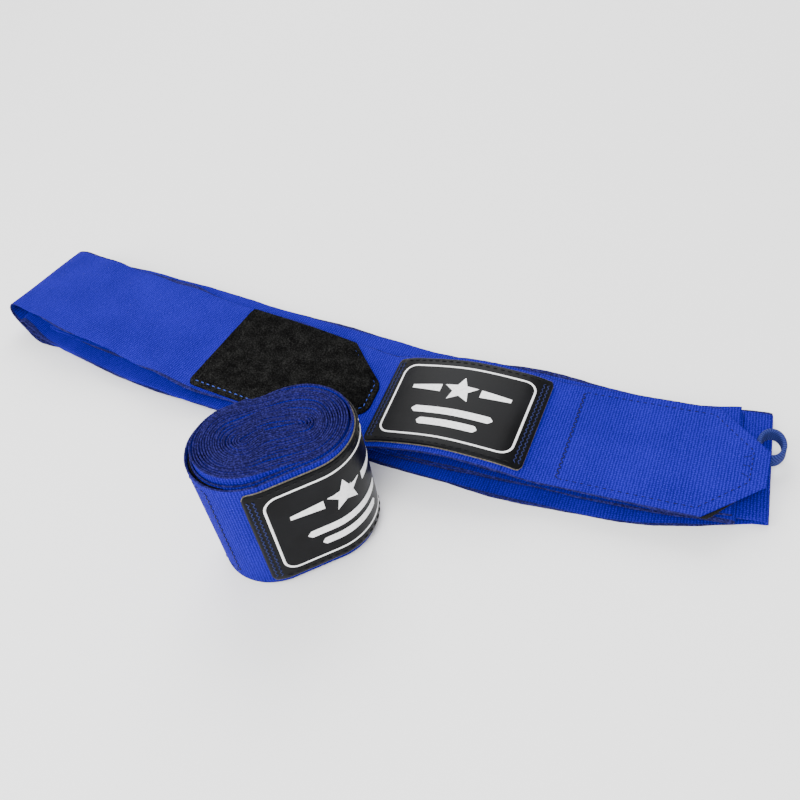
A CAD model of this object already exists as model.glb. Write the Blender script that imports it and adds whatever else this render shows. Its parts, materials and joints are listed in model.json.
"""Looks of a pair of boxing hand wraps: one folded flat in a loose stack, one rolled up on its edge.

Shapes are worked out in millimetres and scaled to metres when a mesh is made. Each wrap is a Route: frames
along its strap. A place on a strap is a distance along it, a distance across it and a height off its face.
"""
import bpy
import bisect
import json
import math
import random
from mathutils import Matrix, Vector, noise


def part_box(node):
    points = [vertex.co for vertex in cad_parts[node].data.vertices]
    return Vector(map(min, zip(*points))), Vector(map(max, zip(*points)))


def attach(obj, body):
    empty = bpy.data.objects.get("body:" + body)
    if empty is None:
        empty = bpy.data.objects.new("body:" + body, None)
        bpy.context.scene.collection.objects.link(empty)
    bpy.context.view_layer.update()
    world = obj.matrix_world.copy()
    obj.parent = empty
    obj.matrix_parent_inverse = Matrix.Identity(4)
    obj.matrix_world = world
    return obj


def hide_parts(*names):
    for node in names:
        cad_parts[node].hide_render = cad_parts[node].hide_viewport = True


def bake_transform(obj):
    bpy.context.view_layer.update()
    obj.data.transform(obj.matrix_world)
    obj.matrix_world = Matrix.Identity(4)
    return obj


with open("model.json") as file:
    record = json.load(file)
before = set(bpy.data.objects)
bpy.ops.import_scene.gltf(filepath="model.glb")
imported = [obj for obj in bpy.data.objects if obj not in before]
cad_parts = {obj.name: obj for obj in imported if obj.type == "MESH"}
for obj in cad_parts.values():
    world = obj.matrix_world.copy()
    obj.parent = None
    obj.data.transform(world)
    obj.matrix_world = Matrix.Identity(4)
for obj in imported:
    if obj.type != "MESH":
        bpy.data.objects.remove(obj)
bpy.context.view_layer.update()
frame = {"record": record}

MM = 0.001
UP = Vector((0, 0, 1))
dice = random.Random(11)


# ---------------------------------------------------------------- sizes from the frame

def box_mm(node):
    low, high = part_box(node)
    return Vector(low) / MM, Vector(high) / MM


def joint_mm(name):
    joint = [j for j in frame["record"]["behaviour"]["joints"] if j["name"] == name][0]
    return Vector(joint["pos_m"]) / MM


ROLL_LOW, ROLL_HIGH = box_mm("rolled_strap")
WIDTH = ROLL_HIGH.z - ROLL_LOW.z
HALF = WIDTH / 2
THICK = 0.72
PLAN_RADIUS = 1000.0
HINGE = joint_mm("closure_tab_lift")
TOP = HINGE.z - THICK / 2

LABEL_LENGTH = 62.0
LABEL_WIDTH = 45.0
LABEL_SKIN = 0.7
LABEL_BACKING = 0.5
LABEL_GAP = 5.6
TAB_LENGTH = 72.6
TAB_SHOULDER = 54.0
TAB_TIP = 15.0
HOOK_BASE = 5.7
HOOK_LENGTH = 63.0
HOOK_SHOULDER = 47.0
HOOK_WIDTH = 46.0
HOOK_TIP = 14.0
PILE_LENGTH = 78.0
PILE_SHOULDER = 57.0
PILE_WIDTH = 48.0
PILE_TIP = 15.0
PILE_GAP = 4.5
TAB_ROOT = 12.0
PRINT_LIFT = 0.12

BORDER_LENGTH = 51.0
BORDER_WIDTH = 36.0
BORDER_CORNER = 4.5
BORDER_LINE = 0.8
STAR_RISE = 6.2
STAR_RADIUS = 6.6
STAR_WAIST = 0.45
WING_START = 7.5
WING_END = 19.0
WING_HALF_HEIGHT = 1.9
BARS = ((-5.4, 15.5), (-11.2, 11.5))
BAR_HALF_HEIGHT = 1.6
END_SEAMS = (-29.2, -27.6, 29.2, 27.6)
END_SEAM_MIDDLE = 28.4
SIDE_SEAM = 20.9

END_SEAM_HALF = 20.2
SIDE_SEAM_HALF = 26.5

PILE_SEAM_INSET = 2.3
HOOK_SEAM_INSET = 1.6
HOOK_SEAM_START = 0.9
HOOK_ASIDE = -1.4
HOOK_PITCH = 1.7
HOOK_SIZE = 0.42

# Straight seams: length of a stitch, gap between stitches, radius of the thread.
MARGIN_SEAM = (2.0, 0.8, 0.24)
PILE_SEAM = (1.5, 1.4, 0.2)
HOOK_SEAM = (1.5, 1.0, 0.19)
TIP_SEAM = (1.3, 0.2, 0.17)
# Zigzag seams: step across the strap, throw to each side, radius of the thread.
LABEL_ZIGZAG = (1.05, 0.42, 0.2)
HOOK_ZIGZAG = (1.25, 0.6, 0.24)

LOOP_LONG_HALF = 6.2
LOOP_SHORT_HALF = 4.1
LOOP_THICK = 1.6
LOOP_ANGLE = 0.163
LOOP_SHIFT = Vector((-0.4, 5.0, 0.4))
CORE_TAPE_WIDTH = 6.0
CORE_TAPE_THICK = 0.4


# ---------------------------------------------------------------- routes

class Route:
    """Frames along a strap: a point on its middle, the direction across it and its outer normal."""

    def __init__(self, points, across, outward):
        self.points = points
        self.across = across
        self.mirrored = outward < 0
        self.distance = [0.0]
        for a, b in zip(points, points[1:]):
            self.distance.append(self.distance[-1] + (b - a).length)
        self.normals = []
        last = len(points) - 1
        for index in range(len(points)):
            tangent = points[min(index + 1, last)] - points[max(index - 1, 0)]
            self.normals.append(tangent.cross(across[index]).normalized() * outward)
        self.length = self.distance[-1]

    def at(self, along, across=0.0, off=0.0):
        index = bisect.bisect_right(self.distance, along) - 1
        index = max(0, min(index, len(self.points) - 2))
        step = self.distance[index + 1] - self.distance[index]
        share = (along - self.distance[index]) / step
        point = self.points[index].lerp(self.points[index + 1], share)
        side = self.across[index].lerp(self.across[index + 1], share)
        normal = self.normals[index].lerp(self.normals[index + 1], share)
        return point + side * across + normal * off


def plan(u, straight):
    """Place and heading of the stack's curved centreline; the closure tab leaves it on its tangent."""
    if straight and u > HINGE.x:
        angle = HINGE.x / PLAN_RADIUS
        ahead = Vector((math.cos(angle), math.sin(angle), 0))
        return Vector((HINGE.x, HINGE.x ** 2 / (2 * PLAN_RADIUS), 0)) + ahead * (u - HINGE.x), angle
    return Vector((u, u * u / (2 * PLAN_RADIUS), 0)), u / PLAN_RADIUS


# Side view of the folded strap, from its thumb end to the tip of the closure tab, chosen by hand:
# distance along the stack, height, shift across the stack, tilt across it.
LAYERS = (
    (160, 6.9, 2, 0), (120, 7.1, 2, 0), (60, 7.3, 6, 0), (20, 7.4, 7, 0), (-60, 8.5, 9, 0.01),
    (-110, 9.6, 8, 0),
    (-137, 10.0, 3, 0), (-142.5, 8.8, 3, 0), (-137, 7.6, 3, 0),
    (-110, 7.2, 5, 0), (-60, 6.8, 7.5, 0.01), (40, 5.8, 5, 0), (120, 5.5, 2, 0),
    (156, 5.6, 1, 0), (160.9, 4.75, 1, 0), (156, 3.9, 1, 0),
    (120, 3.95, 1, 0), (40, 4.2, 2, 0), (-60, 4.9, -3, 0.01), (-115, 6.0, -2, 0),
    (-140, 6.3, -1, 0), (-151, 9.0, 0, -0.03), (-157, 10.6, 0, -0.04), (-161, 8.6, 0, -0.04),
    (-156, 5.4, 0, -0.03), (-140, 3.7, -1, -0.01),
    (-115, 3.4, -2, 0), (-60, 2.9, -1, 0), (40, 2.5, 2, 0), (120, 2.5, 3, 0),
    (164, 3.0, 4, 0), (171.2, 1.75, 4, 0), (164, 0.45, 4, 0),
    (145, 0.42, 0, 0), (120, 0.42, -3.5, 0), (60, 0.42, -2, 0), (25, 0.42, 0, 0), (-20, 0.42, 1.5, 0),
    (-60, 0.42, 2.5, 0), (-100, 0.5, 3, 0), (-130, 0.8, 2, 0),
    (-152, 1.8, 0.5, -0.02), (-164.5, 4.8, 1, -0.05), (-168.8, 9.8, 1, -0.07), (-164.5, 14.3, 1, -0.10),
)
TOP_LAYER = (
    (-147, 16.0, 1, -0.09), (-110, 14.6, 0.8, -0.03), (-60, 12.4, 0.5, 0.04), (-20, 11.0, 0, 0.04),
    (10, 10.3, -2.5, 0.02), (26, 10.3, -4.2, 0.01), (31.4, 11.1, -4.6, 0), (42.4, 14.6, -4.8, 0),
    (62.4, 17.2, -4.3, 0), (82.4, 14.9, -3.2, 0), (93.4, 11.5, -2.2, 0), (98, TOP, -1.8, 0),
    (105, 10.45, -1.8, 0), (130, 10.4, -2.2, 0), (152, 10.45, -2.4, 0),
    (HINGE.x + TAB_LENGTH, 10.8, -2.2, 0),
)


def shear(u, on_top):
    """Cloth pulled out of square: the left folds and the label's left end lean a little."""
    left = min(max((-125 - u) / 35, 0), 1)
    label = math.exp(-((u - 34) / 30) ** 2) if on_top else 0
    return -0.26 * left - 0.11 * label


def smooth(before, start, end, after, share):
    """Catmull-Rom curve between two control rows."""
    values = []
    for a, b, c, d in zip(before, start, end, after):
        values.append(0.5 * (2 * b + (c - a) * share + (2 * a - 5 * b + 4 * c - d) * share ** 2
                             + (3 * b - a - 3 * c + d) * share ** 3))
    return values


def folded_route():
    rows = LAYERS + TOP_LAYER
    points, across = [], []
    for index in range(len(rows) - 1):
        start, end = rows[index], rows[index + 1]
        before = rows[max(index - 1, 0)]
        after = rows[min(index + 2, len(rows) - 1)]
        pieces = max(6, int(abs(end[0] - start[0]) / 1.5))
        for piece in range(pieces):
            u, z, shift, tilt = smooth(before, start, end, after, piece / pieces)
            on_top = index >= len(LAYERS) - 1
            spot, angle = plan(u, on_top)
            side = Vector((-math.sin(angle), math.cos(angle), 0))
            forward = Vector((math.cos(angle), math.sin(angle), 0))
            points.append(spot + side * shift + UP * z)
            across.append((side + UP * tilt + forward * shear(u, on_top)).normalized())
    return Route(points, across, 1)


# ---- the roll: half turns round two centres, wound clockwise from the core, as its CAD coil is

ROLL_FOCUS = 17.0
COIL_PITCH = 0.85
COIL_THICK = 0.62
COIL_CORE = 1.0
COIL_HALF_TURNS = 40
COIL_RADIUS = COIL_CORE + (COIL_HALF_TURNS - 1) * COIL_PITCH / 2
PROUD = 2.9
OUTER_RUN = 205
OUTER_FADE = 14
OUTER_LIFT = 1.715
TAB_LIFT = 2.865
HINGE_ARC = 22.0
ROLL_ANGLE = math.radians(50.0)


def roll_steps():
    """The winding as (length, 0) for a straight and (radius, angle) for an arc, from the core outwards."""
    steps = [(ROLL_FOCUS / 2 - 1, 0), (COIL_CORE / 2, 180), (ROLL_FOCUS, 0)]
    for half_turn in range(COIL_HALF_TURNS):
        steps += [(COIL_CORE + half_turn * COIL_PITCH / 2, 180), (ROLL_FOCUS, 0)]
    steps += [(COIL_RADIUS + OUTER_LIFT / 2, 180), (ROLL_FOCUS, 0), (COIL_RADIUS + OUTER_LIFT, 180)]
    steps += [(ROLL_FOCUS, 0), (COIL_RADIUS + TAB_LIFT, 60)]
    return steps


def leftward(spot):
    """How far towards the roll's left end a place is: 0 in the right half, 1 at the left."""
    return min(max(0.45 - spot.x / 22, 0.0), 1.0)


def turn_span(along, total, spot):
    """Middle and stretch of a turn: the inner bundle stands proud of the last two turns at the left end."""
    outer = min(max((along - (total - OUTER_RUN)) / OUTER_FADE, 0), 1)
    slow = noise.noise(Vector((along * 0.010, 3.1, 0.4)))
    quick = noise.noise(Vector((along * 0.05, 9.2, 0)))
    left = leftward(spot)
    top = (49.9 + PROUD * left + 0.5 * slow + 0.7 * quick) * (1 - outer) + (50.1 - 0.4 * left) * outer
    bottom = (0.25 + 0.1 * slow) * (1 - outer) + 1.1 * outer
    return (top + bottom) / 2, (top - bottom) / WIDTH


def loosened(spot):
    """Nudge the neat spiral into the uneven one a hand winds; neighbouring turns move together."""
    inside = max(0.0, 1 - (spot.x / 24) ** 2 - (spot.y / 15.5) ** 2)
    wave_x = noise.noise(Vector((spot.x * 0.11, spot.y * 0.11, 4.0)))
    wave_y = noise.noise(Vector((spot.x * 0.13, spot.y * 0.10, 8.0)))
    curl = 1.5 * math.sin(spot.x * 0.24 + 0.9) * inside ** 1.5
    return spot + Vector((2.6 * wave_x * inside, 2.2 * wave_y * inside + curl, 0))


def rolled_route():
    hinge = joint_mm("rolled_tab_peel")
    steps = roll_steps()
    flat = [Vector((-1.0, 0, 0))]
    heading = math.pi
    for extent, turn in steps:
        length = extent if turn == 0 else extent * math.radians(turn)
        count = max(3, int(length / 1.0))
        for _ in range(count):
            heading -= math.radians(turn) / count / 2
            reach = length / count
            flat.append(flat[-1] + Vector((math.cos(heading), math.sin(heading), 0)) * reach)
            heading -= math.radians(turn) / count / 2
    spin = Matrix.Rotation(ROLL_ANGLE, 3, "Z")
    turned = [spin @ loosened(p) for p in flat]
    rough = Route(turned, [UP] * len(turned), -1)
    start_of_tab = rough.length - sum_of(steps[-3:]) + rough_hinge_run()
    shift = hinge - rough.at(start_of_tab, 0, THICK / 2)
    points, across = [], []
    for spot, local, along in zip(turned, flat, rough.distance):
        middle, grown = turn_span(along, start_of_tab, local)
        points.append(Vector((spot.x + shift.x, spot.y + shift.y, middle)))
        across.append(UP * grown)
    route = Route(points, across, -1)
    route.hinge = route.length * start_of_tab / rough.length
    return route, Vector((shift.x, shift.y, HALF))


def sum_of(steps):
    return sum(extent if turn == 0 else extent * math.radians(turn) for extent, turn in steps)


def rough_hinge_run():
    """How far past the front of the roll the tab's bend lies."""
    return math.radians(HINGE_ARC) * (COIL_RADIUS + OUTER_LIFT) + LABEL_GAP


# ---------------------------------------------------------------- meshes

def new_object(name, verts, faces, material, coords=None, smooth_faces=True):
    mesh = bpy.data.meshes.new(name)
    mesh.from_pydata([v * MM for v in verts], [], faces)
    if coords:
        layer = mesh.uv_layers.new(name="strap")
        for loop in mesh.loops:
            layer.data[loop.index].uv = coords[loop.vertex_index]
    mesh.materials.append(material)
    mesh.polygons.foreach_set("use_smooth", [smooth_faces] * len(mesh.polygons))
    mesh.update()
    obj = bpy.data.objects.new(name, mesh)
    bpy.context.scene.collection.objects.link(obj)
    return obj


def pointed(length, shoulder, width, tip):
    """Half width of a band whose end narrows to a tip cut off square, with softened corners."""
    def half(run):
        if run <= shoulder:
            return width / 2
        share = min((run - shoulder) / (length - shoulder), 1.0)
        return width / 2 + (tip - width) / 2 * share
    return half


def plain(width):
    return lambda run: width / 2


def band(name, route, begin, end, half, thick, material, lift=0.0, step=1.2, columns=16, ripple=None,
         corner=0.0, aside=0.0):
    """Closed strip of cloth along a route, with rounded edges and square ends."""
    rows = max(2, int((end - begin) / step))
    ring = []
    for column in range(columns + 1):
        ring.append((-1 + 2 * column / columns, 1, 0))
    ring += [(1, 0.7, 0.75), (1, 0, 1), (1, -0.7, 0.75)]
    for column in range(columns + 1):
        ring.append((1 - 2 * column / columns, -1, 0))
    ring += [(-1, -0.7, 0.75), (-1, 0, 1), (-1, 0.7, 0.75)]
    verts, coords, faces = [], [], []
    count = len(ring)
    for row in range(rows + 1):
        along = begin + (end - begin) * row / rows
        run = along - begin
        wide = half(run) - thick / 2
        rounding = min(run, end - along)
        if corner and rounding < corner:
            wide -= corner - math.sqrt(corner ** 2 - (corner - rounding) ** 2)
        for share, level, bulge in ring:
            across = share * wide + math.copysign(bulge * thick / 2, share) + aside
            off = lift + level * thick / 2
            if ripple:
                move_across, move_off = ripple(along, across)
                across += move_across
                off += move_off
            spot = route.at(along, across, off)
            spot.z = max(spot.z, 0.0)
            verts.append(spot)
            coords.append((along * MM, across * MM))
    for row in range(rows):
        for index in range(count):
            after = (index + 1) % count
            a, b = row * count + index, row * count + after
            faces.append((a, a + count, b + count, b))
    faces.append(tuple(range(count)))
    faces.append(tuple(reversed(range(rows * count, (rows + 1) * count))))
    if route.mirrored:
        faces = [tuple(reversed(f)) for f in faces]
    return new_object(name, verts, faces, material, coords)


def woven_edge(seed, size, lift=0.16, sway=0.0, slack=None):
    """Small wander of a strap's edges and face, as loosely woven cloth has; slack fades the larger waves."""
    def ripple(along, across):
        edge = abs(across) / HALF
        near = max(0.0, edge - 0.8) / 0.2
        way = math.copysign(4, across)
        wander = noise.noise(Vector((along * 0.16, seed + way, 0.3)))
        swell = noise.noise(Vector((along * 0.045, seed, way)))
        fine = noise.noise(Vector((along * 0.7, seed + across, 5)))
        drift = noise.noise(Vector((along * 0.021, seed + 3, 1.0)))
        lifted, swayed = slack(along) if slack else (1.0, 1.0)
        sideways = near * (0.25 * wander + 0.12 * fine) + sway * swayed * drift
        return sideways * size, (lift * lifted * swell * edge ** 2 + 0.03 * fine) * size
    return ripple


class Surface:
    """A patch's own coordinates on a strap: along and across from its middle, and height off the face."""

    def __init__(self, route, middle, height):
        self.route = route
        self.middle = middle
        self.height = height

    def at(self, p, q, off=0.0):
        return self.route.at(self.middle + p, q, self.height + off)


def outline_strip(surface, points, width, height, verts, faces):
    """Raised line along a loop of points on a surface."""
    count = len(points)
    start = len(verts)
    for index, (p, q) in enumerate(points):
        before = points[(index - 1) % count]
        after = points[(index + 1) % count]
        run = Vector((after[0] - before[0], after[1] - before[1])).normalized()
        side = Vector((-run.y, run.x)) * width / 2
        for way, off in ((-1, 0), (-0.8, height), (0.8, height), (1, 0)):
            verts.append(surface.at(p + side.x * way, q + side.y * way, off))
    for index in range(count):
        a, b = start + index * 4, start + ((index + 1) % count) * 4
        for lane in range(3):
            faces.append((a + lane, b + lane, b + lane + 1, a + lane + 1))


def rounded_rectangle(length, width, radius, spacing=1.0):
    points = []
    corners = ((1, 1, 0), (-1, 1, 90), (-1, -1, 180), (1, -1, 270))
    for index, (sx, sy, start) in enumerate(corners):
        centre = Vector((sx * (length / 2 - radius), sy * (width / 2 - radius)))
        for step in range(7):
            angle = math.radians(start + 15 * step)
            points.append((centre.x + radius * math.cos(angle), centre.y + radius * math.sin(angle)))
        nx, ny, following = corners[(index + 1) % 4]
        goal_angle = math.radians(following)
        goal = (nx * (length / 2 - radius) + radius * math.cos(goal_angle),
                ny * (width / 2 - radius) + radius * math.sin(goal_angle))
        here = points[-1]
        pieces = int(math.dist(here, goal) / spacing)
        for piece in range(1, pieces):
            share = piece / pieces
            points.append((here[0] + (goal[0] - here[0]) * share, here[1] + (goal[1] - here[1]) * share))
    return points


def filled_print(surface, ps, span, verts, faces, height):
    """Flat print that follows the face; span gives its low and high q at each p."""
    for p0, p1 in zip(ps, ps[1:]):
        start = len(verts)
        for p in (p0, p1):
            low, high = span(p)
            for share in (0, 0.5, 1):
                verts.append(surface.at(p, low + (high - low) * share, height))
        faces.append((start, start + 3, start + 4, start + 1))
        faces.append((start + 1, start + 4, start + 5, start + 2))


def star_print(surface, centre_q, radius, verts, faces, height):
    start = len(verts)
    verts.append(surface.at(0, centre_q, height))
    rings = (0.25, 0.5, 0.75, 1.0)
    for ring in rings:
        for index in range(10):
            reach = radius * ring * (1.0 if index % 2 == 0 else STAR_WAIST)
            angle = math.radians(90 + 36 * index)
            verts.append(surface.at(reach * math.cos(angle), centre_q + reach * math.sin(angle), height))
    for index in range(10):
        after = (index + 1) % 10
        faces.append((start, start + 1 + index, start + 1 + after))
        for ring in range(len(rings) - 1):
            low = start + 1 + 10 * ring
            faces.append((low + index, low + 10 + index, low + 10 + after, low + after))


def ladder(start, end, count):
    return [start + (end - start) * index / count for index in range(count + 1)]


# ---- stitches

def stitch(surface, start, end, radius, verts, faces):
    """One thread stitch: a short bent capsule, half sunk at both ends."""
    run = Vector((end[0] - start[0], end[1] - start[1]))
    side = Vector((-run.y, run.x)).normalized()
    rings = ((0.0, 0.35, -0.6), (0.14, 0.85, 0.15), (0.5, 1.0, 0.5), (0.86, 0.85, 0.15), (1.0, 0.35, -0.6))
    first = len(verts)
    for share, size, lift in rings:
        centre = Vector(start) + run * share
        for spoke in range(6):
            angle = math.radians(60 * spoke)
            spot = centre + side * math.cos(angle) * radius * size
            verts.append(surface.at(spot.x, spot.y, (lift + math.sin(angle) * size * 0.8) * radius))
    for ring in range(len(rings) - 1):
        for spoke in range(6):
            after = (spoke + 1) % 6
            a, b = first + ring * 6, first + ring * 6 + 6
            faces.append((a + spoke, a + after, b + after, b + spoke))
    faces.append(tuple(first + spoke for spoke in range(6)))
    last = first + 6 * (len(rings) - 1)
    faces.append(tuple(last + spoke for spoke in range(6)))


def sew(surface, corners, seam, verts, faces):
    """A run of stitches along straight lines between corners."""
    length, gap, radius = seam
    for start, end in zip(corners, corners[1:]):
        reach = math.dist(start, end)
        count = max(1, round(reach / (length + gap)))
        for index in range(count):
            jog = dice.uniform(-0.08, 0.08)
            a = (index + gap / (length + gap) / 2) / count
            b = (index + 1 - gap / (length + gap) / 2) / count
            run_p, run_q = end[0] - start[0], end[1] - start[1]
            side = Vector((-run_q, run_p)).normalized() * jog
            first = (start[0] + run_p * a + side.x, start[1] + run_q * a + side.y)
            second = (start[0] + run_p * b - side.x, start[1] + run_q * b - side.y)
            stitch(surface, first, second, radius, verts, faces)


def zigzag(surface, p, half, seam, verts, faces):
    """Zigzag seam across the strap, one stitch to each leg."""
    pitch, throw, radius = seam
    count = int(2 * half / pitch)
    for index in range(count):
        q0 = -half + index * pitch
        way = throw if index % 2 else -throw
        stitch(surface, (p - way, q0), (p + way, q0 + pitch), radius, verts, faces)


# ---------------------------------------------------------------- materials

class Nodes:
    """Short way to write a node material."""

    def __init__(self, name):
        self.material = bpy.data.materials.new(name)
        self.material.use_nodes = True
        self.tree = self.material.node_tree
        self.shader = self.tree.nodes["Principled BSDF"]

    def add(self, kind, **settings):
        node = self.tree.nodes.new(kind)
        for key, value in settings.items():
            setattr(node, key, value)
        return node

    def link(self, source, target):
        self.tree.links.new(source, target)

    def feed(self, socket, value):
        if hasattr(value, "is_output"):
            self.link(value, socket)
        else:
            socket.default_value = value

    def maths(self, operation, a, b=0.0, c=0.0):
        node = self.add("ShaderNodeMath", operation=operation)
        for socket, value in zip(node.inputs, (a, b, c)):
            self.feed(socket, value)
        return node.outputs[0]

    def mix(self, share, a, b):
        node = self.add("ShaderNodeMix", data_type="RGBA")
        self.feed(node.inputs["Factor"], share)
        for socket, value in ((node.inputs[6], a), (node.inputs[7], b)):
            self.feed(socket, value if hasattr(value, "is_output") else (*value, 1.0))
        return node.outputs[2]

    def step(self, value, low, high):
        node = self.add("ShaderNodeMapRange", interpolation_type="SMOOTHSTEP")
        self.feed(node.inputs["Value"], value)
        node.inputs["From Min"].default_value = low
        node.inputs["From Max"].default_value = high
        return node.outputs[0]

    def noise(self, scale, detail=2.0, vector=None, roughness=0.5):
        node = self.add("ShaderNodeTexNoise")
        node.inputs["Scale"].default_value = scale
        node.inputs["Detail"].default_value = detail
        node.inputs["Roughness"].default_value = roughness
        self.link(vector or self.place(), node.inputs["Vector"])
        return node.outputs["Fac"]

    def place(self):
        if not hasattr(self, "coordinates"):
            self.coordinates = self.add("ShaderNodeTexCoord")
        return self.coordinates.outputs["Object"]

    def strap_place(self):
        """Along and across the strap, in metres."""
        uv = self.add("ShaderNodeUVMap", uv_map="strap")
        parts = self.add("ShaderNodeSeparateXYZ")
        self.link(uv.outputs[0], parts.inputs[0])
        return uv.outputs[0], parts.outputs[0], parts.outputs[1]

    def wave(self, value, pitch, phase=0.0):
        turns = self.maths("MULTIPLY_ADD", value, 2 * math.pi / pitch, phase)
        return self.maths("MULTIPLY_ADD", self.maths("SINE", turns), 0.5, 0.5)

    def bump(self, height, strength, distance):
        node = self.add("ShaderNodeBump")
        node.inputs["Strength"].default_value = strength
        node.inputs["Distance"].default_value = distance
        self.link(height, node.inputs["Height"])
        self.link(node.outputs[0], self.shader.inputs["Normal"])

    def finish(self, colour, roughness, specular=0.5):
        self.link(colour, self.shader.inputs["Base Color"])
        self.feed(self.shader.inputs["Roughness"], roughness)
        self.shader.inputs["Specular IOR Level"].default_value = specular
        return self.material


def strap_material():
    """Royal blue elastic weave: cross ribs, lengthwise yarns, darker selvedges with flecks."""
    n = Nodes("strap_weave")
    uv, along, across = n.strap_place()
    drift = n.noise(900.0, 2.0, uv)
    wobble = n.maths("MULTIPLY_ADD", drift, 0.0009, along)
    rib = n.wave(wobble, 0.00102)
    yarn = n.wave(n.maths("MULTIPLY_ADD", drift, 0.0007, across), 0.00090)
    weave = n.maths("MULTIPLY_ADD", rib, 0.3, n.maths("MULTIPLY", n.maths("MULTIPLY", rib, yarn), 0.7))
    patches = n.noise(45.0, 4.0, uv)
    fleck = n.noise(2600.0, 1.0, uv)
    height = n.maths("MULTIPLY_ADD", fleck, 0.35, weave)
    shade = n.maths("MULTIPLY_ADD", patches, 0.30, n.maths("MULTIPLY", weave, 0.45))
    shade = n.maths("MULTIPLY_ADD", fleck, 0.25, shade)
    face = n.mix(n.step(shade, 0.15, 0.85), (0.0035, 0.0015, 0.105), (0.019, 0.0078, 0.41))
    face = n.mix(n.step(fleck, 0.60, 0.80), face, (0.042, 0.034, 0.50))
    rim = n.step(n.maths("ABSOLUTE", across), HALF * MM - 0.00075, HALF * MM - 0.0002)
    mottle = n.step(n.noise(1500.0, 2.0, n.place()), 0.40, 0.68)
    dark = n.mix(mottle, (0.006, 0.005, 0.043), (0.021, 0.018, 0.13))
    colour = n.mix(rim, face, dark)
    n.bump(height, 0.65, 0.0002)
    return n.finish(colour, 0.9, 0.06)


def leather_material():
    """Black synthetic leather with a fine grain and half gloss."""
    n = Nodes("label_face")
    cells = n.add("ShaderNodeTexVoronoi", feature="DISTANCE_TO_EDGE")
    cells.inputs["Scale"].default_value = 1500.0
    n.link(n.place(), cells.inputs["Vector"])
    grain = n.maths("MULTIPLY_ADD", n.noise(700.0, 3.0), 0.6, cells.outputs["Distance"])
    smear = n.noise(60.0, 4.0)
    colour = n.mix(n.step(smear, 0.3, 0.75), (0.0018, 0.0019, 0.0024), (0.0042, 0.0044, 0.0054))
    n.bump(grain, 0.12, 0.0001)
    rough = n.maths("MULTIPLY_ADD", smear, 0.2, 0.22)
    return n.finish(colour, rough, 0.07)


def backing_material():
    """Pale beige cut edge and backing of the label."""
    n = Nodes("label_backing")
    grain = n.noise(1800.0, 3.0)
    colour = n.mix(n.step(grain, 0.3, 0.7), (0.055, 0.048, 0.036), (0.15, 0.13, 0.10))
    n.bump(grain, 0.4, 0.0001)
    return n.finish(colour, 0.9)


def print_material():
    """White print, slightly uneven over the leather's grain."""
    n = Nodes("label_print")
    wear = n.noise(900.0, 4.0)
    colour = n.mix(n.step(wear, 0.30, 0.55), (0.70, 0.70, 0.71), (0.86, 0.86, 0.86))
    n.bump(wear, 0.15, 0.00005)
    return n.finish(colour, 0.42)


def thread_material(name, dark, light):
    n = Nodes(name)
    twist = n.noise(3200.0, 2.0)
    colour = n.mix(n.step(twist, 0.35, 0.65), dark, light)
    n.bump(twist, 0.6, 0.0001)
    return n.finish(colour, 0.7, 0.15)


def pile_material():
    """Black brushed pile: matt, with grey tips where fibres catch the light."""
    n = Nodes("pile_fabric")
    tuft = n.noise(1700.0, 4.0, roughness=0.7)
    field = n.noise(220.0, 3.0)
    level = n.maths("MULTIPLY_ADD", field, 0.25, n.maths("MULTIPLY", tuft, 0.85))
    colour = n.mix(n.step(level, 0.48, 0.74), (0.0010, 0.0010, 0.0010), (0.022, 0.022, 0.021))
    n.bump(tuft, 0.9, 0.0004)
    return n.finish(colour, 0.95, 0.05)


def hook_material():
    """Black woven tape that the plastic hooks stand on."""
    n = Nodes("hook_tape")
    _, along, across = n.strap_place()
    weave = n.maths("MULTIPLY", n.wave(along, 0.0008), n.wave(across, 0.0008))
    colour = n.mix(weave, (0.002, 0.002, 0.0025), (0.010, 0.010, 0.012))
    n.bump(weave, 0.5, 0.00015)
    return n.finish(colour, 0.6, 0.1)


def tape_material():
    """Greyish blue narrow tape with a fine herringbone."""
    n = Nodes("loop_tape")
    _, along, across = n.strap_place()
    slant = n.maths("MULTIPLY_ADD", n.maths("ABSOLUTE", across), 0.7, along)
    weave = n.wave(slant, 0.0009)
    colour = n.mix(weave, (0.008, 0.012, 0.07), (0.03, 0.04, 0.20))
    n.bump(weave, 0.6, 0.0002)
    return n.finish(colour, 0.85, 0.1)


def floor_material():
    n = Nodes("floor")
    return n.finish(n.mix(n.noise(3.0), (0.93, 0.93, 0.93), (0.95, 0.95, 0.95)), 0.9, 0.1)


MATERIAL = {
    "strap": strap_material(), "leather": leather_material(), "backing": backing_material(),
    "print": print_material(),
    "thread": thread_material("dark_thread", (0.002, 0.002, 0.007), (0.009, 0.010, 0.036)),
    "navy_thread": thread_material("navy_thread", (0.006, 0.008, 0.036), (0.025, 0.033, 0.118)),
    "black_thread": thread_material("black_thread", (0.0015, 0.0015, 0.002), (0.009, 0.009, 0.011)),
    "blue_thread": thread_material("blue_thread", (0.015, 0.03, 0.20), (0.06, 0.11, 0.55)),
    "pile": pile_material(), "hook": hook_material(), "tape": tape_material(),
}


def settle(obj, kind, body, *nodes):
    """Give a piece its record slot, the body it rides on and the CAD nodes it stands for."""
    if body:
        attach(obj, body)
    if nodes:
        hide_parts(*nodes)
    return obj


# ---------------------------------------------------------------- pieces on a strap

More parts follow.
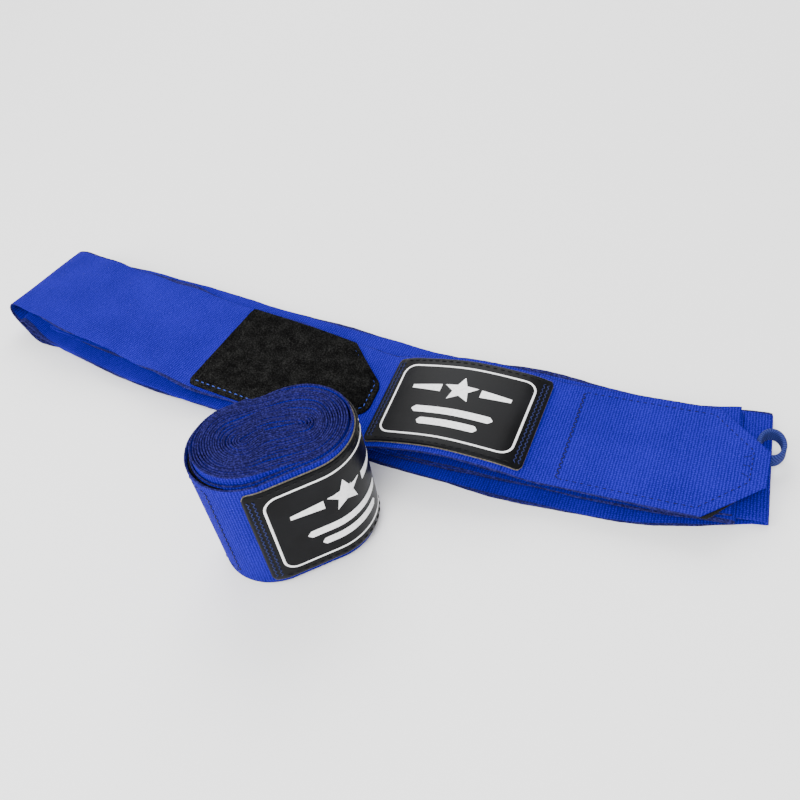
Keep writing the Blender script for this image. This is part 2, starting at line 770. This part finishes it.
def add_label(prefix, route, middle, body):
    """Label with its backing, border, emblem and seams."""
    face = THICK / 2
    start, end = middle - LABEL_LENGTH / 2, middle + LABEL_LENGTH / 2
    backing = band(prefix + "_label_backing", route, start, end, plain(LABEL_WIDTH), LABEL_BACKING,
                   MATERIAL["backing"], lift=face + LABEL_BACKING / 2, step=1.0, columns=20, corner=2.0)
    settle(backing, "backing", body)
    skin = band(prefix + "_label_skin", route, start + 0.15, end - 0.15, plain(LABEL_WIDTH - 0.3), LABEL_SKIN,
                MATERIAL["leather"], lift=face + LABEL_BACKING + LABEL_SKIN / 2, step=0.8, columns=24,
                ripple=label_relief(middle), corner=2.0)
    settle(skin, "leather", body, prefix + "_label")
    surface = Surface(route, middle, face + LABEL_BACKING + LABEL_SKIN)
    verts, faces = [], []
    border = rounded_rectangle(BORDER_LENGTH, BORDER_WIDTH, BORDER_CORNER)
    outline_strip(surface, border, BORDER_LINE, PRINT_LIFT, verts, faces)
    settle(new_object(prefix + "_label_line", verts, faces, MATERIAL["print"]), "print", body,
           prefix + "_label_border")
    verts, faces = [], []
    star_print(surface, STAR_RISE, STAR_RADIUS, verts, faces, PRINT_LIFT)
    for way in (-1, 1):
        filled_print(surface, ladder(way * WING_START, way * WING_END, 10), wing, verts, faces, PRINT_LIFT)
    for centre, half in BARS:
        filled_print(surface, ladder(-half, half, 24), bar(centre, half), verts, faces, PRINT_LIFT)
    settle(new_object(prefix + "_label_star", verts, faces, MATERIAL["print"]), "print", body,
           prefix + "_label_emblem")
    verts, faces = [], []
    for p in END_SEAMS:
        zigzag(surface, p, END_SEAM_HALF, LABEL_ZIGZAG, verts, faces)
    settle(new_object(prefix + "_label_zigzag", verts, faces, MATERIAL["navy_thread"]), "navy_thread", body,
           prefix + "_label_stitching")
    verts, faces = [], []
    for q in (-SIDE_SEAM, SIDE_SEAM):
        sew(surface, [(-SIDE_SEAM_HALF, q), (SIDE_SEAM_HALF, q)], MARGIN_SEAM, verts, faces)
    margin_seam = new_object(prefix + "_label_margin_seam", verts, faces, MATERIAL["black_thread"])
    settle(margin_seam, "black_thread", body)


def wing(p):
    """Tapering bar beside the star."""
    half_height = WING_HALF_HEIGHT * (1 - 0.55 * (abs(p) - WING_START) / (WING_END - WING_START))
    return STAR_RISE - half_height, STAR_RISE + half_height


def bar(centre, half_length):
    """Bar with rounded ends."""
    def span(p):
        over = max(0.0, abs(p) - (half_length - BAR_HALF_HEIGHT)) / BAR_HALF_HEIGHT
        high = BAR_HALF_HEIGHT * math.sqrt(max(0.02, 1 - over * over))
        return centre - high, centre + high
    return span


def label_relief(middle):
    """Seams pull the label's skin in; its margin is a little raised outside them."""
    def ripple(along, across):
        p = along - middle
        near_end = min(abs(abs(p) - END_SEAM_MIDDLE) / 1.6, 1.0)
        near_side = min(abs(abs(across) - SIDE_SEAM), 1.0)
        slow = noise.noise(Vector((along * 0.05, across * 0.06, 2.0)))
        return 0.0, -0.13 * (1 - near_end) - 0.10 * (1 - near_side) + 0.05 * slow
    return ripple


def add_pile(prefix, route, label_middle, body, thick, fibres):
    """Pile patch: a tape with a brushed field of fibres and a bare margin, and its seam."""
    end = label_middle - LABEL_LENGTH / 2 - PILE_GAP
    start = end - PILE_LENGTH
    half = pointed(PILE_LENGTH, PILE_SHOULDER, PILE_WIDTH, PILE_TIP)
    base = band(prefix + "_pile_tape", route, start, end, half, thick, MATERIAL["pile"],
                lift=THICK / 2 + thick / 2, step=1.0, columns=24, ripple=pile_relief(start, half, thick),
                corner=2.5)
    settle(base, "pile", body, prefix + "_pile_patch")
    surface = Surface(route, start, THICK / 2 + thick)
    verts, faces = [], []
    for _ in range(fibres):
        p = dice.uniform(0.5, PILE_LENGTH - 2.8)
        q = dice.uniform(2.9 - half(p), half(p) - 0.6)
        fibre(surface, p, q, thick, verts, faces)
    settle(new_object(prefix + "_pile_fibres", verts, faces, MATERIAL["pile"]), "pile", body)
    verts, faces = [], []
    inset = PILE_SEAM_INSET
    wide, tip = PILE_WIDTH / 2 - inset, PILE_TIP / 2 - inset * 0.4
    corners = [(inset, -wide), (PILE_SHOULDER - inset * 0.4, -wide), (PILE_LENGTH - inset, -tip),
               (PILE_LENGTH - inset, tip), (PILE_SHOULDER - inset * 0.4, wide)]
    sew(surface, corners, PILE_SEAM, verts, faces)
    settle(new_object(prefix + "_pile_seam", verts, faces, MATERIAL["blue_thread"]), "blue_thread", body,
           *([prefix + "_pile_stitching"] if prefix == "folded" else []))


def pile_relief(start, half, thick):
    """Brushed field a little lumpy, bare margin pressed flat."""
    def ripple(along, across):
        reach = half(along - start)
        margin = min(along - start + 2.4, start + PILE_LENGTH - along, reach + across, reach - across + 2.4)
        field = min(max((margin - 2.6) / 0.6, 0.0), 1.0)
        lumps = noise.noise(Vector((along * 0.35, across * 0.35, 1.5))) * 0.5 + 0.5
        return 0.0, (field * (0.25 + 0.25 * lumps) - 0.15) * thick
    return ripple


def fibre(surface, p, q, thick, verts, faces):
    """One brushed loop fibre: a thin strip that stands up, leans and curls over."""
    lean = dice.uniform(0, 2 * math.pi)
    side = lean + math.pi / 2
    reach = dice.uniform(0.25, 0.6)
    tall = dice.uniform(0.35, 0.75) * thick
    start = len(verts)
    for share, rise, width in ((0.0, 0.0, 0.07), (0.35, 0.75, 0.07), (0.75, 1.0, 0.06), (1.0, 0.7, 0.03)):
        for way in (-1, 1):
            verts.append(surface.at(p + math.cos(lean) * reach * share + math.cos(side) * width * way,
                                    q + math.sin(lean) * reach * share + math.sin(side) * width * way,
                                    tall * rise - 0.05))
    for lane in range(3):
        a = start + lane * 2
        faces.append((a, a + 1, a + 3, a + 2))


def add_hooks(prefix, route, hinge, body, thick):
    """Hook patch under the tab, its field of hooks, and the seam that shows on the tab's face."""
    start, end = hinge + HOOK_BASE, hinge + HOOK_BASE + HOOK_LENGTH
    half = pointed(HOOK_LENGTH, HOOK_SHOULDER + 4, HOOK_WIDTH, HOOK_TIP + 2)
    tape = thick * 0.5
    base = band(prefix + "_hook_base", route, start, end, half, tape, MATERIAL["hook"], -THICK / 2 - tape / 2,
                corner=1.5, aside=HOOK_ASIDE)
    settle(base, "hook", body, prefix + "_hook_patch")
    under = Surface(route, start, -THICK / 2 - tape)
    verts, faces = [], []
    for row in range(int((HOOK_LENGTH - 4) / HOOK_PITCH)):
        p = 2.4 + row * HOOK_PITCH
        lanes = int((2 * half(p) - 4) / HOOK_PITCH)
        for lane in range(lanes + 1):
            q = (lane - lanes / 2) * HOOK_PITCH + HOOK_ASIDE + (0.3 if row % 2 else -0.3)
            hook(under, p, q, thick * HOOK_SIZE, verts, faces)
    settle(new_object(prefix + "_hook_field", verts, faces, MATERIAL["hook"]), "hook", body)
    above = Surface(route, start, THICK / 2)
    verts, faces = [], []
    wide, tip = HOOK_WIDTH / 2 - HOOK_SEAM_INSET, HOOK_TIP / 2
    tip_end = HOOK_LENGTH - HOOK_SEAM_INSET
    zigzag(above, HOOK_SEAM_START, wide, HOOK_ZIGZAG, verts, faces)
    corners = [(HOOK_SEAM_START, -wide), (HOOK_SHOULDER, -wide), (tip_end, -tip), (tip_end, tip),
               (HOOK_SHOULDER, wide), (HOOK_SEAM_START, wide)]
    sew(above, corners, HOOK_SEAM, verts, faces)
    for q in (-tip * 0.5, 0.0, tip * 0.5):
        sew(above, [(HOOK_LENGTH - 4.5, q), (HOOK_LENGTH - 1.8, q * 1.4)], TIP_SEAM, verts, faces)
    settle(new_object(prefix + "_hook_seam", verts, faces, MATERIAL["thread"]), "thread", body,
           prefix + "_hook_stitching")


def hook(surface, p, q, tall, verts, faces):
    """One moulded hook: a bent strip."""
    start = len(verts)
    for reach, rise, width in ((0.0, 0.0, 0.16), (0.0, 0.7, 0.13), (0.25, 1.0, 0.11), (0.5, 0.75, 0.08)):
        for way in (-1, 1):
            verts.append(surface.at(p + reach, q + width * way, -tall * rise))
    for lane in range(3):
        a = start + lane * 2
        faces.append((a, a + 1, a + 3, a + 2))


# ---------------------------------------------------------------- the folded wrap

def add_folded():
    route = folded_route()
    hinge = route.length - TAB_LENGTH
    label_middle = hinge - LABEL_GAP - LABEL_LENGTH / 2
    cut = hinge - TAB_ROOT
    layers = band("folded_layers", route, 0.0, cut, plain(WIDTH), THICK, MATERIAL["strap"], step=1.25,
                  columns=22, ripple=woven_edge(1.0, 1.0, 0.65, 3.2, layer_slack(route)))
    settle(layers, "strap", "folded_wrap", "folded_strap")

    tab = band("folded_tab_cloth", route, cut, route.length, tab_half(), THICK, MATERIAL["strap"], step=0.8,
               columns=22, ripple=woven_edge(2.0, 0.8))
    settle(tab, "strap", None, "folded_tab")
    ahead = (route.at(hinge + 4) - route.at(hinge - 4)).normalized()
    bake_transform(tab)
    add_label("folded", route, label_middle, "folded_wrap")
    add_pile("folded", route, label_middle, "folded_wrap", 1.1, 15000)
    add_hooks("folded", route, hinge, "closure_tab", 1.0)
    add_thumb_loop(route)


def tab_half():
    """Half width along a closure tab's cloth, which begins its root's length before the bend."""
    return pointed(TAB_LENGTH + TAB_ROOT, TAB_SHOULDER + TAB_ROOT, WIDTH, TAB_TIP)


def layer_slack(route):
    """How far edges lift and layers sway: freely in the top layer's left half, not at all under the label."""
    label_start = route.length - TAB_LENGTH - LABEL_GAP - LABEL_LENGTH

    def slack(along):
        before = label_start - along
        loose = min(max((before - 40) / 60, 0), 1) * min(max((260 - before) / 60, 0), 1)
        held = min(max(before / 90, 0), 1)
        return 0.3 + 0.7 * held + 3.0 * loose, held
    return slack


def loop_points(centre, long_half, short_half, angle, count=40):
    points = []
    for index in range(count + 1):
        turn = 2 * math.pi * index / count + math.pi
        offset = Vector((short_half * math.cos(turn), long_half * math.sin(turn), 0))
        points.append(centre + Matrix.Rotation(angle, 3, "Z") @ offset)
    return points


def add_thumb_loop(route):
    """Narrow tape on its edge, bent into a loop at the strap's thumb end, and the bartack that holds it."""
    low, high = box_mm("folded_thumb_loop")
    centre = (low + high) / 2
    tape_width = (high.z - low.z) * 0.84
    points = loop_points(centre + LOOP_SHIFT, LOOP_LONG_HALF, LOOP_SHORT_HALF, LOOP_ANGLE)
    loop_route = Route(points, [UP] * len(points), -1)
    loop = band("folded_loop_tape", loop_route, 0.0, loop_route.length, plain(tape_width), LOOP_THICK,
                MATERIAL["tape"], step=0.5, columns=8, ripple=woven_edge(7.0, 0.4))
    settle(loop, "tape", "thumb_loop", "folded_thumb_loop")
    verts, faces = [], []
    surface = Surface(route, 0.0, THICK / 2)
    for index in range(9):
        q = 3.6 + index * 0.35
        stitch(surface, (1.0, q), (6.5, q + 0.1), 0.2, verts, faces)
    settle(new_object("folded_bartack_threads", verts, faces, MATERIAL["thread"]), "thread", "folded_wrap",
           "folded_thumb_bartack")


# ---------------------------------------------------------------- the rolled wrap

def add_rolled():
    route, core = rolled_route()
    hinge = route.hinge
    label_middle = hinge - LABEL_GAP - LABEL_LENGTH / 2
    cut = hinge - TAB_ROOT
    coil = band("rolled_turns", route, 0.0, cut, plain(WIDTH), COIL_THICK, MATERIAL["strap"], step=1.0,
                columns=14, ripple=woven_edge(3.0, 0.55))
    settle(coil, "strap", "rolled_wrap", "rolled_strap")
    tab = band("rolled_tab_cloth", route, cut, hinge + TAB_LENGTH, tab_half(), THICK, MATERIAL["strap"],
               step=0.8, columns=22, ripple=woven_edge(4.0, 0.6))
    settle(tab, "strap", None, "rolled_tab")
    bend = joint_mm("rolled_tab_peel")
    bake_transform(tab)
    add_core_loop(core)
    add_label("rolled", route, label_middle, "rolled_wrap")
    add_pile("rolled", route, label_middle, "rolled_wrap", 0.7, 3000)
    add_hooks("rolled", route, hinge, "rolled_tab", 0.6)


def add_core_loop(core):
    """The rolled wrap's thumb loop, pressed flat where the winding starts."""
    outline = ((-0.6, 0.2), (2, 0.24), (5, 0.24), (7.4, 0.2), (7.8, 0), (7.4, -0.2), (5, -0.24), (2, -0.24),
               (-0.6, -0.2))
    flat = [Vector((x, y, 0)) for x, y in outline]
    spin = Matrix.Rotation(ROLL_ANGLE, 3, "Z")
    points = [spin @ loosened(p) + core for p in flat]
    tape = Route(points, [UP] * len(points), -1)
    loop = band("rolled_loop_tape", tape, 0.0, tape.length, plain(CORE_TAPE_WIDTH), CORE_TAPE_THICK,
                MATERIAL["tape"], step=0.7, columns=4)
    settle(loop, "tape", "rolled_wrap", "rolled_thumb_loop")


# ---------------------------------------------------------------- floor, light and camera

CAMERA_ANGLES = (-35.7, 43.7, -11.7)
CAMERA_PLACE = (183.0, -203.0, 248.0)
CAMERA_LENS = 40.3
FLOOR_HALF = 4000
WORLD_LIGHT = 1.1


def add_floor():
    verts = [Vector((x * FLOOR_HALF, y * FLOOR_HALF, 0)) for x, y in ((-1, -1), (1, -1), (1, 1), (-1, 1))]
    floor = new_object("studio_floor", verts, [(0, 1, 2, 3)], floor_material(), smooth_faces=False)


def aim(obj, target):
    obj.rotation_euler = (Vector(target) - obj.location).to_track_quat("-Z", "Y").to_euler()


def add_light(name, place, target, size, power):
    data = bpy.data.lights.new(name, "AREA")
    data.energy = power
    data.size = size
    lamp = bpy.data.objects.new(name, data)
    lamp.location = place
    bpy.context.scene.collection.objects.link(lamp)
    aim(lamp, target)


def add_lights():
    world = bpy.data.worlds.new("studio")
    world.use_nodes = True
    background = world.node_tree.nodes["Background"]
    background.inputs["Color"].default_value = (1, 1, 1, 1)
    background.inputs["Strength"].default_value = WORLD_LIGHT
    bpy.context.scene.world = world
    add_light("key", (0.25, -0.75, 0.95), (0, 0, 0.01), 0.6, 18.0)
    add_light("fill", (-0.45, -0.7, 0.4), (0, 0, 0.02), 0.8, 7.0)
    add_light("back", (-0.35, 0.8, 0.9), (0, 0, 0.01), 0.9, 14.0)


def add_camera():
    """At the viewing angle of the photograph: above the near right end, looking down and to the left."""
    yaw, pitch, roll = (math.radians(angle) for angle in CAMERA_ANGLES)
    forward = Vector((math.sin(yaw) * math.cos(pitch), math.cos(yaw) * math.cos(pitch), -math.sin(pitch)))
    level = Vector((math.cos(yaw), -math.sin(yaw), 0))
    above = level.cross(forward)
    right = level * math.cos(roll) + above * math.sin(roll)
    top = above * math.cos(roll) - level * math.sin(roll)
    data = bpy.data.cameras.new("camera")
    data.lens = CAMERA_LENS
    camera = bpy.data.objects.new("camera", data)
    matrix = Matrix((right, top, -forward)).transposed().to_4x4()
    matrix.translation = Vector(CAMERA_PLACE) * MM
    camera.matrix_world = matrix
    bpy.context.scene.collection.objects.link(camera)
    bpy.context.scene.camera = camera


add_folded()
add_rolled()
add_floor()
add_lights()
add_camera()
